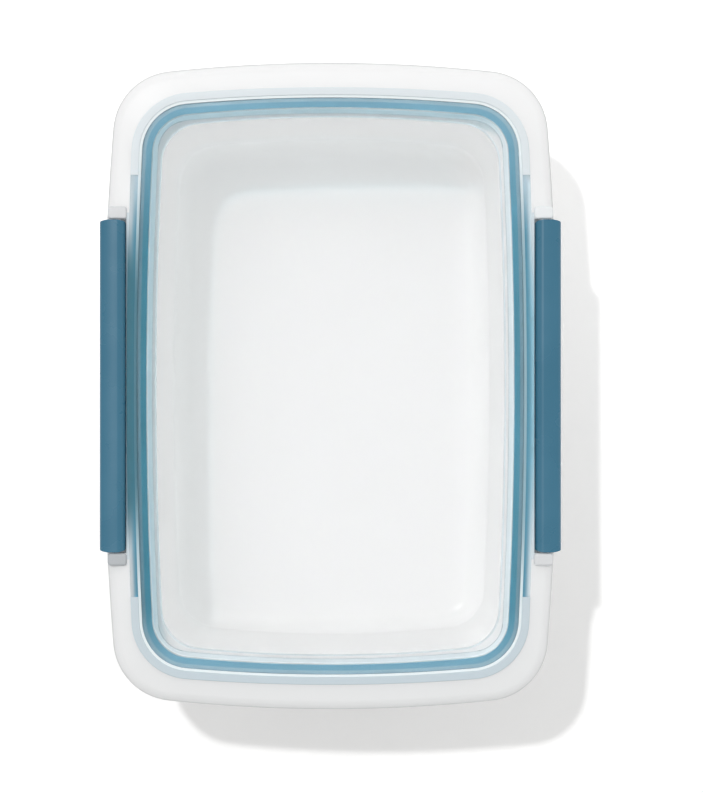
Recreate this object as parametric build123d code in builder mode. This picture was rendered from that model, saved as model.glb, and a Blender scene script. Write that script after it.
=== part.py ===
from build123d import *
import os
from math import radians, tan

# A rectangular food keeper: a tapered tub, a lid with a soft sealing ring, and a long latch on
# each side. +Z is up, +X runs across the keeper and +Y along it, and the origin is the middle
# of the foot. Sizes are in millimetres.

# Outline of the lid, whose corners stand in from the middles of its sides by the bows
lid_width = 168.8
lid_length = 240.0
lid_corner = 23.0
lid_side_bow = 5.4
lid_end_bow = 5.6

# Rim of the tub, measured along the middle of its wall
side_margin = 13.2
end_margin = 13.8
rim_corner = 17.5
rim_side_bow = 2.8
rim_end_bow = 3.9
rim_thickness = 1.8
rim_height = 91.8
rim_round = 0.6

# Walls and floor of the tub
mouth_inset = 5.2
mouth_corner = 15.0
wall = 1.8
draft = 3.2
shoulder_height = 4.5
shoulder_lift = 0.9
floor_thickness = 2.2
floor_round = 7.5
foot_round = 4.0
foot_width = 7.5
foot_recess = 1.0

# Flange round the tub, with the lip that the latches catch
flange_inset = 3.8
flange_drop = 3.5
flange_thickness = 1.8
lip_thickness = 1.6
lip_depth = 8.0
flange_round = 1.2

# Skirt and crown of the lid
lid_wall = 1.6
skirt_depth = 12.8
crown_fall = 2.2
crown_round = 5.0

# Ring of the lid over the rim, with the groove that holds the seal
ring_wall = 1.2
ring_roof = 1.4
ledge_height = 0.6
ledge_inner = 1.4
ledge_reach = 28.2
ledge_round = 0.48

# Sunken panel in the middle of the lid, which takes the foot of another keeper
panel_inset = 6.6
panel_corner = 15.0
panel_slope = 2.2
panel_depth = 2.8
panel_thickness = 1.6

# Sealing ring, measured from the middle of the rim
seal_inner = 3.1
seal_outer = 2.9
seal_web = 1.1
seal_lobe = 1.4
seal_stand = 0.7
seal_fit = 0.1
seal_gap = 0.3
rim_play = 0.4
rib_place = 0.6
rib_thickness = 0.7
rib_depth = 2.0

# Latches
latch_length = 123.0
latch_gap = 0.3
barrel_radius = 3.1
latch_rise = 1.3
latch_reach = 6.7
crown_arc = 18.0
shoulder_round = 2.2
web_drop = 1.0
flap_thickness = 2.0
flap_hollow = 0.8
flap_below_hook = 4.0
tip_round = 0.9
end_bulge = 0.8
end_corner = 1.2
hook_length = 48.0
hook_overlap = 1.0
hook_gap = 0.3
hook_face = 1.2
hook_height = 3.4
gusset_start = 1.5
gusset_thickness = 1.2
gusset_depth = 6.0
gusset_margin = 11.5
gusset_count = 6
root_overlap = 0.5

# Lugs of the lid, whose stub pins carry the latches
lug_length = 4.6
lug_margin = 0.45
lug_top_drop = 0.3
lug_corner = 1.2
lug_round = 0.8
pin_radius = 1.5
pin_length = 2.6
pin_play = 0.1
pin_end_play = 0.4
saddle_place = 24.0
saddle_width = 2.4
saddle_reach = 3.0
saddle_depth = 2.0

# Levels and places that follow from the sizes above
rim_width = lid_width - 2 * side_margin
rim_length = lid_length - 2 * end_margin
rim_half = rim_thickness / 2
flange_top = rim_height - flange_drop
flange_underside = flange_top - flange_thickness
lip_bottom = flange_top - lip_depth
lip_face = lid_width / 2 - flange_inset
knee_height = flange_underside - shoulder_height
floor_top = foot_recess + floor_thickness
foot_draw = knee_height * tan(radians(draft))
floor_draw = (knee_height - floor_top) * tan(radians(draft))

seal_channel = rim_height + seal_gap
seal_bottom = seal_channel - seal_lobe
groove_roof = seal_channel + seal_web + rib_depth + seal_fit
ring_bottom = seal_bottom + seal_stand
ring_top = groove_roof + ring_roof
ledge_top = ring_top + ledge_height
ledge_end = rim_length / 2 - ledge_reach
ring_reach = seal_outer + seal_fit + ring_wall
panel_top = ring_top - panel_depth
panel_underside = panel_top - panel_thickness
eaves = ring_top - crown_fall
skirt_bottom = ring_top - skirt_depth
skirt_roof = eaves - lid_wall

latch_wall = rim_width / 2 + ring_reach
axis_x = latch_wall + latch_gap + barrel_radius
latch_top = ring_top + latch_rise
axis_z = latch_top - barrel_radius
latch_face = axis_x + latch_reach
latch_inner = axis_x - barrel_radius
latch_shoulder = latch_top - latch_reach**2 / (2 * crown_arc)
latch_end = latch_length / 2 - end_bulge
hook_top = lip_bottom - hook_gap
hook_tip = lip_face - hook_overlap
flap_bottom = hook_top - hook_height - flap_below_hook
flap_inner = latch_face - flap_thickness
root = flap_inner + root_overlap
web_underside = axis_z - web_drop
web_root = web_underside + root_overlap
gusset_pitch = (latch_length - 2 * gusset_margin) / (gusset_count - 1)
lug_face = latch_length / 2 + latch_gap
lug_half = barrel_radius + lug_margin
lug_top = latch_top - lug_top_drop


def bowed_rectangle(width, length, side_bow, end_bow, corner):
    """Face of a rounded rectangle whose four sides bow outwards."""
    x = width / 2 - side_bow
    y = length / 2 - end_bow
    with BuildSketch() as outline:
        with BuildLine():
            ThreePointArc((x, -y), (width / 2, 0), (x, y))
            ThreePointArc((x, y), (0, length / 2), (-x, y))
            ThreePointArc((-x, y), (-width / 2, 0), (-x, -y))
            ThreePointArc((-x, -y), (0, -length / 2), (x, -y))
        make_face()
        fillet(outline.vertices(), corner)
    return outline.sketch


def rim_outline(grow=0.0):
    """Outline parallel to the middle of the tub's rim."""
    return bowed_rectangle(
        rim_width + 2 * grow, rim_length + 2 * grow, rim_side_bow, rim_end_bow, rim_corner + grow
    )


def mouth_outline(grow=0.0, draw=0.0):
    """Outline parallel to the inside of the tub's mouth, drawn in by the draft lower down."""
    size = grow - draw - mouth_inset
    return bowed_rectangle(
        rim_width + 2 * size, rim_length + 2 * size, rim_side_bow, rim_end_bow, mouth_corner + grow
    )


def panel_outline(grow=0.0):
    """Outline parallel to the edge of the lid's sunken panel."""
    size = grow - panel_inset
    return bowed_rectangle(
        rim_width + 2 * size, rim_length + 2 * size, rim_side_bow, rim_end_bow, panel_corner
    )


def lid_outline(grow=0.0):
    """Outline parallel to the outer edge of the lid."""
    return bowed_rectangle(
        lid_width + 2 * grow, lid_length + 2 * grow, lid_side_bow, lid_end_bow, lid_corner + grow
    )


def edges_at(part, height, tolerance=0.01):
    """Edges of a part that lie wholly at one height."""
    return part.edges().filter_by_position(Axis.Z, height - tolerance, height + tolerance)


# Space inside the tub: drafted walls, a rounded floor, and a step out to the rim
with BuildPart() as cavity:
    with BuildSketch(Plane.XY.offset(floor_top)):
        add(mouth_outline(draw=floor_draw))
    with BuildSketch(Plane.XY.offset(knee_height + shoulder_lift)):
        add(mouth_outline())
    with BuildSketch(Plane.XY.offset(flange_underside + shoulder_lift)):
        add(rim_outline(-rim_half))
    with BuildSketch(Plane.XY.offset(rim_height + shoulder_lift)):
        add(rim_outline(-rim_half))
    loft(ruled=True)
    fillet(edges_at(cavity, floor_top), floor_round)

with BuildPart() as tub:
    # Flange with a rounded edge, and the lip that hangs from it
    with BuildSketch(Plane.XY.offset(flange_underside)):
        add(lid_outline(-flange_inset))
    extrude(amount=flange_thickness)
    fillet(edges_at(tub, flange_top), flange_round)
    with BuildSketch(Plane.XY.offset(lip_bottom)):
        add(lid_outline(-flange_inset))
        add(lid_outline(-flange_inset - lip_thickness), mode=Mode.SUBTRACT)
    extrude(amount=flange_underside - lip_bottom)
    # Walls, shoulder and rim, rounded at the foot
    with BuildSketch():
        add(mouth_outline(wall, foot_draw))
    with BuildSketch(Plane.XY.offset(knee_height)):
        add(mouth_outline(wall))
    with BuildSketch(Plane.XY.offset(flange_underside)):
        add(rim_outline(rim_half))
    with BuildSketch(Plane.XY.offset(rim_height)):
        add(rim_outline(rim_half))
    loft(ruled=True)
    fillet(edges_at(tub, 0), foot_round)
    add(cavity.part, mode=Mode.SUBTRACT)
    # Shallow hollow under the floor, which leaves a ring to stand on
    with BuildSketch():
        add(mouth_outline(wall - foot_width, foot_draw))
    extrude(amount=foot_recess, mode=Mode.SUBTRACT)
    fillet(edges_at(tub, rim_height), rim_round)
tub.part.label = "tub"

# Space under the lid's skirt
with BuildPart() as skirt_space:
    with BuildSketch(Plane.XY.offset(skirt_bottom)):
        add(lid_outline(-lid_wall))
    extrude(amount=skirt_roof - skirt_bottom)
    with BuildSketch(Plane.XY.offset(skirt_roof)):
        add(lid_outline(-lid_wall))
    with BuildSketch(Plane.XY.offset(ring_top - lid_wall)):
        add(rim_outline(ring_reach))
    loft(ruled=True)
    fillet(edges_at(skirt_space, skirt_roof), crown_round - lid_wall)

with BuildPart() as lid:
    # Skirt and sloping crown
    with BuildSketch(Plane.XY.offset(skirt_bottom)):
        add(lid_outline())
    extrude(amount=eaves - skirt_bottom)
    with BuildSketch(Plane.XY.offset(eaves)):
        add(lid_outline())
    with BuildSketch(Plane.XY.offset(ring_top)):
        add(rim_outline(ring_reach))
    loft(ruled=True)
    fillet(edges_at(lid, eaves), crown_round)
    add(skirt_space.part, mode=Mode.SUBTRACT)
    # Opening in the skirt for each latch, closed on its inner side by a straight wall
    with BuildSketch(Plane.XY.offset(skirt_bottom)):
        Rectangle(lid_width + 2 * latch_reach, 2 * lug_face)
        Rectangle(2 * latch_wall, 2 * lug_face, mode=Mode.SUBTRACT)
    extrude(amount=latch_top - skirt_bottom, mode=Mode.SUBTRACT)
    with BuildSketch(Plane.XY.offset(ring_bottom)):
        add(rim_outline(ring_reach))
        Rectangle(2 * latch_wall, 2 * lug_face + lug_length)
    extrude(amount=ring_top - ring_bottom)
    # Raised ledge round both ends
    with BuildSketch(Plane.XY.offset(groove_roof)):
        add(rim_outline(ring_reach))
        add(rim_outline(ledge_inner), mode=Mode.SUBTRACT)
        Rectangle(lid_width, 2 * ledge_end, mode=Mode.SUBTRACT)
    extrude(amount=ledge_top - groove_roof)
    fillet(edges_at(lid, ledge_top), ledge_round)
    # Sunken panel, with sloping sides
    with BuildSketch(Plane.XY.offset(panel_top)):
        add(panel_outline())
    with BuildSketch(Plane.XY.offset(ring_top)):
        add(panel_outline(panel_slope))
    loft(ruled=True, mode=Mode.SUBTRACT)
    with BuildSketch(Plane.XY.offset(ring_bottom)):
        add(rim_outline(-seal_inner - seal_fit - ring_wall))
    extrude(amount=panel_underside - ring_bottom, mode=Mode.SUBTRACT)
    # Groove for the seal, with a rib that holds it in place
    with BuildSketch(Plane.XY.offset(ring_bottom)):
        add(rim_outline(seal_outer + seal_fit))
        add(rim_outline(-seal_inner - seal_fit), mode=Mode.SUBTRACT)
    extrude(amount=groove_roof - ring_bottom, mode=Mode.SUBTRACT)
    with BuildSketch(Plane.XY.offset(groove_roof - rib_depth)):
        add(rim_outline(rib_place + rib_thickness))
        add(rim_outline(rib_place), mode=Mode.SUBTRACT)
    extrude(amount=rib_depth)
    # Lugs at both ends of each latch, and saddles under its barrel
    with BuildSketch(Plane.XY.offset(ring_bottom)):
        with GridLocations(2 * axis_x, 2 * lug_face + lug_length, 2, 2):
            RectangleRounded(2 * lug_half, lug_length, lug_corner)
    extrude(amount=lug_top - ring_bottom)
    fillet(edges_at(lid, lug_top), lug_round)
    with BuildSketch(Plane.XY.offset(ring_bottom - saddle_depth)):
        with GridLocations(2 * latch_wall + saddle_reach, 2 * saddle_place, 2, 2):
            Rectangle(saddle_reach + ring_wall, saddle_width)
    extrude(amount=axis_z - ring_bottom + saddle_depth)
    for side in (-1, 1):
        with BuildSketch(Plane.XZ):
            with Locations((side * axis_x, axis_z)):
                Circle(barrel_radius + latch_gap)
        extrude(amount=lug_face, both=True, mode=Mode.SUBTRACT)
        for end in (-1, 1):
            with BuildSketch(Plane.XZ.offset(-end * lug_face)):
                with Locations((side * axis_x, axis_z)):
                    Circle(pin_radius)
            extrude(amount=end * pin_length)
lid.part.label = "lid"

with BuildPart() as seal:
    with BuildSketch(Plane.XY.offset(seal_bottom)):
        add(rim_outline(seal_outer))
        add(rim_outline(-seal_inner), mode=Mode.SUBTRACT)
    extrude(amount=groove_roof - seal_bottom)
    # Channel over the rim, and the slot for the lid's rib
    with BuildSketch(Plane.XY.offset(seal_bottom)):
        add(rim_outline(rim_half + rim_play))
        add(rim_outline(-rim_half - rim_play), mode=Mode.SUBTRACT)
    extrude(amount=seal_channel - seal_bottom, mode=Mode.SUBTRACT)
    with BuildSketch(Plane.XY.offset(groove_roof - rib_depth - seal_fit)):
        add(rim_outline(rib_place + rib_thickness + seal_fit))
        add(rim_outline(rib_place - seal_fit), mode=Mode.SUBTRACT)
    extrude(amount=rib_depth + seal_fit, mode=Mode.SUBTRACT)
seal.part.label = "seal"

with BuildPart() as latch_right:
    # Crown and flap, drawn from the end and joined to the barrel
    with BuildSketch(Plane.XZ) as profile:
        with BuildLine():
            TangentArc((axis_x, latch_top), (latch_face, latch_shoulder), tangent=(1, 0))
            ThreePointArc(
                (latch_face, latch_shoulder),
                (latch_face - flap_hollow, (latch_shoulder + flap_bottom) / 2),
                (latch_face, flap_bottom),
            )
            Line((latch_face, flap_bottom), (flap_inner, flap_bottom))
            ThreePointArc(
                (flap_inner, flap_bottom),
                (flap_inner - flap_hollow, (web_underside + flap_bottom) / 2),
                (flap_inner, web_underside),
            )
            Polyline((flap_inner, web_underside), (axis_x, web_underside), (axis_x, latch_top))
        make_face()
        fillet(profile.vertices().group_by(Axis.Y)[0], tip_round)
        fillet(profile.vertices().sort_by_distance((latch_face, latch_shoulder))[0], shoulder_round)
        with Locations((axis_x, axis_z)):
            Circle(barrel_radius)
    extrude(amount=latch_length / 2, both=True)
    # Ends bulge a little and have rounded corners
    with BuildSketch(Plane.XY.offset(flap_bottom)) as plan:
        with BuildLine():
            Line((latch_inner, -latch_end), (latch_inner, latch_end))
            ThreePointArc((latch_inner, latch_end), (axis_x, latch_length / 2), (latch_face, latch_end))
            Line((latch_face, latch_end), (latch_face, -latch_end))
            ThreePointArc((latch_face, -latch_end), (axis_x, -latch_length / 2), (latch_inner, -latch_end))
        make_face()
        fillet(plan.vertices(), end_corner)
    extrude(amount=latch_top - flap_bottom, mode=Mode.INTERSECT)
    # Hook that catches the lip, on the middle of the flap
    with BuildSketch(Plane.XZ):
        Polygon(
            (root, hook_top),
            (hook_tip, hook_top),
            (hook_tip, hook_top - hook_face),
            (root, hook_top - hook_height),
            align=None,
        )
    extrude(amount=hook_length / 2, both=True)
    # Gussets between the web and the flap
    for number in range(gusset_count):
        place = (number - (gusset_count - 1) / 2) * gusset_pitch
        with BuildSketch(Plane.XZ.offset(place)):
            Polygon(
                (axis_x + gusset_start, web_root),
                (root, web_root),
                (root, web_underside - gusset_depth),
                align=None,
            )
        extrude(amount=gusset_thickness / 2, both=True)
    # Sockets for the pins
    for end in (-1, 1):
        with BuildSketch(Plane.XZ.offset(-end * latch_length / 2)):
            with Locations((axis_x, axis_z)):
                Circle(pin_radius + pin_play)
        extrude(amount=end * (pin_length - latch_gap + pin_end_play), mode=Mode.SUBTRACT)
latch_right.part.label = "latch_right"

with BuildPart() as latch_left:
    add(mirror(latch_right.part, about=Plane.YZ))
latch_left.part.label = "latch_left"

os.makedirs("parts", exist_ok=True)
export_step(tub.part, "parts/tub.step")
export_step(lid.part, "parts/lid.step")
export_step(seal.part, "parts/seal.step")
export_step(latch_right.part, "parts/latch_right.step")
export_step(latch_left.part, "parts/latch_left.step")
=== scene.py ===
"""Looks of a rectangular food keeper: a milky tub, a clear lid, a soft sealing ring and two latches.

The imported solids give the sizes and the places. The tub, the lid and the ring are swept again here
with the same sections, so that their faces are even and can change finish along a line. The latches
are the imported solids, dressed. The keeper is lit and framed from straight above.
"""

import logging
import math
from dataclasses import dataclass, replace
from enum import Enum, IntEnum
from functools import cache
from typing import Any

import bmesh
import bpy
from bmesh.types import BMEdge, BMesh, BMFace, BMVert
from bpy.types import Material, Node, NodeSocket, NodeTree, Object, ShaderNodeTree
from mathutils import Matrix, Vector
from mathutils.geometry import intersect_sphere_sphere_2d


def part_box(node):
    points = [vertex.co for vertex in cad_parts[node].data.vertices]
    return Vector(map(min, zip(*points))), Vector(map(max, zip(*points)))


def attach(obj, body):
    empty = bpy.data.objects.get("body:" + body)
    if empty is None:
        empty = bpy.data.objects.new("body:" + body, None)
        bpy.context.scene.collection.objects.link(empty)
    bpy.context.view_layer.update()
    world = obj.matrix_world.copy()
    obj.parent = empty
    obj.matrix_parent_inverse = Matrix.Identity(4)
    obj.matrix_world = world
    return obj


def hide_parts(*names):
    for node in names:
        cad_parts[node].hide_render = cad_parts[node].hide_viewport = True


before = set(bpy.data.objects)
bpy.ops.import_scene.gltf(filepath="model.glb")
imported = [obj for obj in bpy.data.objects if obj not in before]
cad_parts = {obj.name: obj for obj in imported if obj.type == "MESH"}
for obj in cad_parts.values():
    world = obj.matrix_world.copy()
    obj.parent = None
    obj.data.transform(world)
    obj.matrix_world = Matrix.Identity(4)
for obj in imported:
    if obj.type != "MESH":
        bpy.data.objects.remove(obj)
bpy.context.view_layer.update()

MM = 0.001
NEAR = 0.001 * MM
SHARP_ANGLE = math.radians(35)
BUMP_HEIGHT = 0.1 * MM
GRAIN_DETAIL = 3.0
SHEEN_DETAIL = 5.0
SHEEN_LOW = 0.3
SHEEN_HIGH = 0.7
FLAT_WEIGHT = 80
ROD_SIDES = 32
ROUND_STEPS = 4
MIX_FACTOR = 0
MIX_FIRST = 6
MIX_SECOND = 7
MIX_RESULT = 2
ACROSS = (1.0, 0.0, 0.0)
ALONG = (0.0, 1.0, 0.0)
UP = (0.0, 0.0, 1.0)
LEFTWARD = (-1.0, 0.0, 0.0)
NEARWARD = (0.0, -1.0, 0.0)
DOWN = (0.0, 0.0, -1.0)
DIAGONAL = (0.7, 0.7, 0.0)

Colour = tuple[float, float, float]
Point = tuple[float, float, float]

log = logging.getLogger("keeper")


class Side(Enum):
    """Side of the keeper that a latch hangs on."""

    LEFT = "latch_left"
    RIGHT = "latch_right"


class TubSkin(IntEnum):
    """Finish of a face of the tub, as the number of its material slot."""

    INSIDE = 0
    OUTSIDE = 1


class Skin(IntEnum):
    """Finish of a face of the lid, as the number of its material slot."""

    CLEAR = 0
    FROSTED = 1
    MISTY = 2
    LEDGE = 3
    VEILED = 4
    BRIGHT = 5
    LUG = 6
    PALE = 7
    WALL = 8


class Graph:
    """Short ways to add nodes and links to a shader node tree."""

    def __init__(self, tree: NodeTree) -> None:
        """Starts from an empty tree.

        Args:
            tree: Node tree of a material, a world or a node group.
        """
        self.tree = tree
        self.tree.nodes.clear()

    def add(self, kind: str, inputs: dict[Any, Any] | None = None, **settings: Any) -> Node:
        """Adds a node, sets its properties and then fills its inputs.

        Args:
            kind: Blender's name for the node type.
            inputs: Value or output socket for each input, by its name or number.
            **settings: Properties of the node.

        Returns:
            The new node.
        """
        node = self.tree.nodes.new(kind)
        for key, value in settings.items():
            setattr(node, key, value)
        for key, value in (inputs or {}).items():
            if isinstance(value, NodeSocket):
                self.tree.links.new(value, node.inputs[key])
            else:
                node.inputs[key].default_value = value
        return node

    def math(self, operation: str, *values: Any) -> NodeSocket:
        """Adds a Math node.

        Args:
            operation: What the node works out.
            *values: Numbers or output sockets, in order.

        Returns:
            Its output socket.
        """
        return self.add("ShaderNodeMath", dict(enumerate(values)), operation=operation).outputs[0]

    def ramp(self, factor: NodeSocket, low: Any, high: Any) -> NodeSocket:
        """Adds a smooth step from 0 at low to 1 at high.

        Args:
            factor: Socket that is compared with the two limits.
            low: Value at which the step starts.
            high: Value at which the step ends.

        Returns:
            The output socket of the step.
        """
        inputs = {"Value": factor, "From Min": low, "From Max": high}
        return self.add("ShaderNodeMapRange", inputs, interpolation_type="SMOOTHSTEP").outputs["Result"]

    def mix(self, factor: Any, first: Any, second: Any) -> NodeSocket:
        """Adds a mix of two colours.

        Args:
            factor: Share of the second colour.
            first: Colour at 0.
            second: Colour at 1.

        Returns:
            The mixed colour's output socket.
        """
        node = self.add("ShaderNodeMix", data_type="RGBA")
        for number, value in ((MIX_FACTOR, factor), (MIX_FIRST, first), (MIX_SECOND, second)):
            if isinstance(value, NodeSocket):
                self.tree.links.new(value, node.inputs[number])
            else:
                node.inputs[number].default_value = value if isinstance(value, float) else (*value[:3], 1.0)
        return node.outputs[MIX_RESULT]


@cache
def moulded_grain() -> ShaderNodeTree:
    """Fine grain of a moulded surface, with the wide unevenness of its gloss.

    Returns:
        A group with a Height for a bump and a Sheen mask from 0 to 1.
    """
    tree = bpy.data.node_groups.new("moulded_grain", "ShaderNodeTree")
    for name in ("Grain Scale", "Sheen Scale"):
        tree.interface.new_socket(name, in_out="INPUT", socket_type="NodeSocketFloat")
    for name in ("Height", "Sheen"):
        tree.interface.new_socket(name, in_out="OUTPUT", socket_type="NodeSocketFloat")
    graph = Graph(tree)
    given = graph.add("NodeGroupInput").outputs
    place = graph.add("ShaderNodeTexCoord").outputs["Object"]
    grain = {"Vector": place, "Scale": given["Grain Scale"], "Detail": GRAIN_DETAIL}
    sheen = {"Vector": place, "Scale": given["Sheen Scale"], "Detail": SHEEN_DETAIL}
    height = graph.add("ShaderNodeTexNoise", grain).outputs["Fac"]
    wide = graph.add("ShaderNodeTexNoise", sheen).outputs["Fac"]
    uneven = graph.ramp(wide, SHEEN_LOW, SHEEN_HIGH)
    graph.add("NodeGroupOutput", {"Height": height, "Sheen": uneven})
    return tree


@cache
def place_share() -> ShaderNodeTree:
    """Smooth step along a direction.

    Returns:
        A group whose Share goes from 0 at Start to 1 at End, on both sides of the keeper's middle
        alike where Mirrored is 1. Bow bends the step towards the ends, with the square of Y.
    """
    tree = bpy.data.node_groups.new("place_share", "ShaderNodeTree")
    tree.interface.new_socket("Direction", in_out="INPUT", socket_type="NodeSocketVector")
    for name in ("Start", "End", "Mirrored", "Bow"):
        tree.interface.new_socket(name, in_out="INPUT", socket_type="NodeSocketFloat")
    tree.interface.new_socket("Share", in_out="OUTPUT", socket_type="NodeSocketFloat")
    graph = Graph(tree)
    given = graph.add("NodeGroupInput").outputs
    place = graph.add("ShaderNodeTexCoord").outputs["Object"]
    sides = {0: place, 1: given["Direction"]}
    along = graph.add("ShaderNodeVectorMath", sides, operation="DOT_PRODUCT").outputs["Value"]
    turned = graph.math("SUBTRACT", graph.math("ABSOLUTE", along), along)
    straight = graph.math("MULTIPLY_ADD", turned, given["Mirrored"], along)
    length = graph.add("ShaderNodeSeparateXYZ", {0: place}).outputs["Y"]
    squared = graph.math("MULTIPLY", length, length)
    reach = graph.math("MULTIPLY_ADD", squared, given["Bow"], straight)
    share = graph.ramp(reach, given["Start"], given["End"])
    graph.add("NodeGroupOutput", {"Share": share})
    return tree


@dataclass(frozen=True)
class Outline:
    """Rounded rectangle whose four sides bow outwards, in metres."""

    width: float
    length: float
    side_bow: float
    end_bow: float
    corner: float

    def grown(self, amount: float, corner: float | None = None) -> "Outline":
        """Outline further out by an amount.

        Args:
            amount: How far outwards each side moves.
            corner: Corner radius, or None for a parallel outline.

        Returns:
            The new outline.
        """
        return replace(
            self,
            width=self.width + 2 * amount,
            length=self.length + 2 * amount,
            corner=self.corner + amount if corner is None else corner,
        )

    def draw(self, mesh: BMesh, steps: "Steps") -> list[BMEdge]:
        """Draws the outline as one closed loop of edges at level zero.

        Args:
            mesh: Empty mesh that gets the loop.
            steps: How finely the arcs are divided.

        Returns:
            The loop's edges.
        """
        half_width, half_length = self.width / 2, self.length / 2
        side_radius = ((half_length - self.end_bow) ** 2 + self.side_bow**2) / (2 * self.side_bow)
        end_radius = ((half_width - self.side_bow) ** 2 + self.end_bow**2) / (2 * self.end_bow)
        side_centre = Vector((half_width - side_radius, 0.0))
        end_centre = Vector((0.0, half_length - end_radius))
        crossings = intersect_sphere_sphere_2d(
            side_centre, side_radius - self.corner, end_centre, end_radius - self.corner
        )
        corner_centre = max(crossings, key=lambda point: point.x + point.y)
        end_turn = math.atan2(corner_centre.x - end_centre.x, corner_centre.y - end_centre.y)
        side_turn = math.atan2(corner_centre.y - side_centre.y, corner_centre.x - side_centre.x)
        last = bmesh.ops.create_vert(mesh, co=(0.0, half_length, 0.0))["vert"]
        arcs = (
            (end_centre, end_turn, steps.end),
            (corner_centre, math.pi / 2 - end_turn - side_turn, steps.corner),
            (side_centre, side_turn, steps.side),
        )
        for centre, turn, count in arcs:
            spun = bmesh.ops.spin(
                mesh, geom=last, cent=(*centre, 0.0), axis=(0, 0, -1), angle=turn, steps=count
            )
            last = [item for item in spun["geom_last"] if isinstance(item, BMVert)]
        for axis in ("X", "Y"):
            bmesh.ops.mirror(
                mesh,
                geom=mesh.verts[:] + mesh.edges[:],
                matrix=Matrix.Identity(4),
                merge_dist=NEAR,
                axis=axis,
            )
        return mesh.edges[:]

    def spots(self, steps: "Steps") -> list[Vector]:
        """Points of the outline, in the same order for every outline with these steps.

        Args:
            steps: How finely the arcs are divided.

        Returns:
            The places of the points.
        """
        mesh = bmesh.new()
        self.draw(mesh, steps)
        places = [vertex.co.copy() for vertex in mesh.verts]
        mesh.free()
        return places


@dataclass(frozen=True)
class Steps:
    """Edges along half an end, a corner and half a side of an outline."""

    end: int = 12
    corner: int = 14
    side: int = 18


@dataclass(frozen=True)
class Station:
    """One corner of a section: its outline and level, how it is rounded, and the finish after it."""

    outline: Outline
    level: float
    rounding: float = 0.0
    segments: int = 3
    skin: int = Skin.CLEAR
    thin: bool = False


class Sweep:
    """A section swept once round the keeper, from outline to outline."""

    def __init__(self, stations: list[Station], steps: Steps) -> None:
        """Sweeps the section without rounding it.

        Args:
            stations: Corners of the section, in order.
            steps: How finely the outlines are divided.
        """
        self.stations = stations
        self.mesh = bmesh.new()
        self.edges = stations[0].outline.draw(self.mesh, steps)
        self.number = self.mesh.verts.layers.int.new("number")
        self.station = self.mesh.verts.layers.int.new("station")
        self.mesh.verts.ensure_lookup_table()
        for index, vertex in enumerate(self.mesh.verts):
            vertex[self.number] = index
            vertex.co.z = stations[0].level
        self.first = self.edges
        for index, station in enumerate(stations[1:], 1):
            self.extend(index, station, steps)

    def extend(self, index: int, station: Station, steps: Steps) -> None:
        """Carries the surface on to the next corner of the section.

        Args:
            index: Number of the corner.
            station: The corner.
            steps: How finely the outlines are divided.
        """
        spots = station.outline.spots(steps)
        made = bmesh.ops.extrude_edge_only(self.mesh, edges=self.edges)["geom"]
        points = {item for item in made if isinstance(item, BMVert)}
        for point in points:
            point.co = spots[point[self.number]]
            point.co.z = station.level
            point[self.station] = index
        for item in made:
            if isinstance(item, BMFace):
                item.material_index = self.stations[index - 1].skin
        self.edges = [item for item in made if isinstance(item, BMEdge) and points.issuperset(item.verts)]

    def join_ends(self) -> None:
        """Closes the section on itself."""
        bmesh.ops.bridge_loops(self.mesh, edges=self.first + self.edges)
        bmesh.ops.recalc_face_normals(self.mesh, faces=self.mesh.faces)

    def cap_ends(self) -> None:
        """Closes the first and the last outline with a flat face each."""
        for edges, station in ((self.first, self.stations[0]), (self.edges, self.stations[-1])):
            for face in bmesh.ops.contextual_create(self.mesh, geom=edges)["faces"]:
                face.material_index = station.skin
        bmesh.ops.recalc_face_normals(self.mesh, faces=self.mesh.faces)

    def round_corners(self) -> None:
        """Rounds each corner of the section by its own width, the widest first."""
        widths = {station.rounding for station in self.stations} - {0.0}
        for rounding in sorted(widths, reverse=True):
            chosen = {index for index, station in enumerate(self.stations) if station.rounding == rounding}
            segments = max(self.stations[index].segments for index in chosen)
            edges = [
                edge
                for edge in self.mesh.edges
                if edge.verts[0][self.station] == edge.verts[1][self.station]
                and edge.verts[0][self.station] in chosen
                and edge.verts[0][self.number] != edge.verts[1][self.number]
            ]
            soften(self.mesh, edges, rounding, segments)


@dataclass(frozen=True)
class Moulded:
    """Grain and gloss of a moulded surface."""

    roughness: float
    spread: float
    grain: float
    sheen: float
    relief: float

    def shade(self, graph: Graph, inputs: dict[str, Any]) -> Node:
        """Adds a shader with this grain and gloss.

        Args:
            graph: Graph of the material.
            inputs: Further inputs of the shader.

        Returns:
            The shader's node.
        """
        group = self.group(graph)
        uneven = graph.math("MULTIPLY_ADD", group.outputs["Sheen"], self.spread, self.roughness)
        relief = {"Strength": self.relief, "Distance": BUMP_HEIGHT, "Height": group.outputs["Height"]}
        normal = graph.add("ShaderNodeBump", relief).outputs["Normal"]
        return graph.add("ShaderNodeBsdfPrincipled", {"Roughness": uneven, "Normal": normal, **inputs})

    def group(self, graph: Graph) -> Node:
        """Places the grain's node group with this surface's own scales."""
        scales = {"Grain Scale": self.grain, "Sheen Scale": self.sheen}
        return graph.add("ShaderNodeGroup", scales, node_tree=moulded_grain())


FROST = Moulded(roughness=0.34, spread=0.08, grain=1400.0, sheen=18.0, relief=0.06)
GLASSY = Moulded(roughness=0.03, spread=0.03, grain=900.0, sheen=22.0, relief=0.004)


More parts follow.
